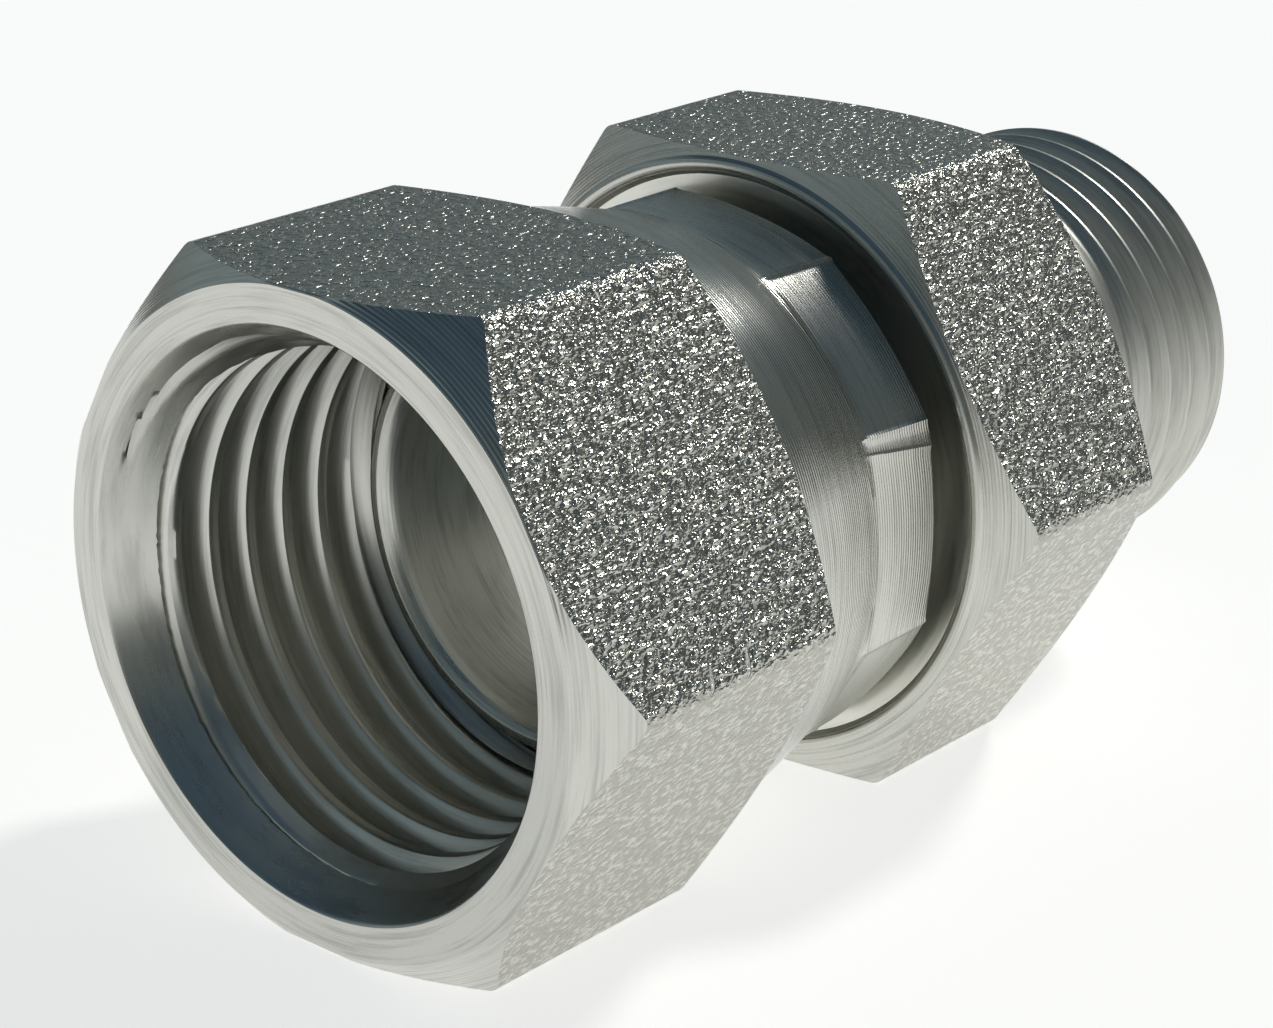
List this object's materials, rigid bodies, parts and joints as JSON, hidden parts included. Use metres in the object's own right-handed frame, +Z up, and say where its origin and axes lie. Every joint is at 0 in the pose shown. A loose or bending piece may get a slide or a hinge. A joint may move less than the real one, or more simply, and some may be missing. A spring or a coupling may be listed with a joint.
{
  "type": "swivel adapter",
  "caption": "Straight hydraulic adapter: a crimped hexagonal swivel nut with an inside thread turns on a hexagonal body with an outside thread at the far end and a passage right through.",
  "frame": {"origin": "under the middle of the adapter, on the plane that both hexagons rest on", "axes": "+X along the thread axis from the nut's mouth to the outside thread, +Z up, a hexagon flat at the bottom"},
  "size_m": [0.0452, 0.0276, 0.024],
  "materials": {
    "nut_steel": "zinc plated, grainy on the hexagon flats and turned elsewhere",
    "body_steel": "zinc plated, grainy on the hexagon flats and turned elsewhere"
  },
  "bodies": {
    "body": {"body": "body_steel"},
    "swivel_nut": {"swivel_nut": "nut_steel"}
  },
  "joints": [
    {"name": "nut_spin", "type": "hinge", "parent": "body", "child": "swivel_nut", "pos_m": [-0.0118, 0, 0.012], "axis": [1, 0, 0], "continuous": true}
  ]
}
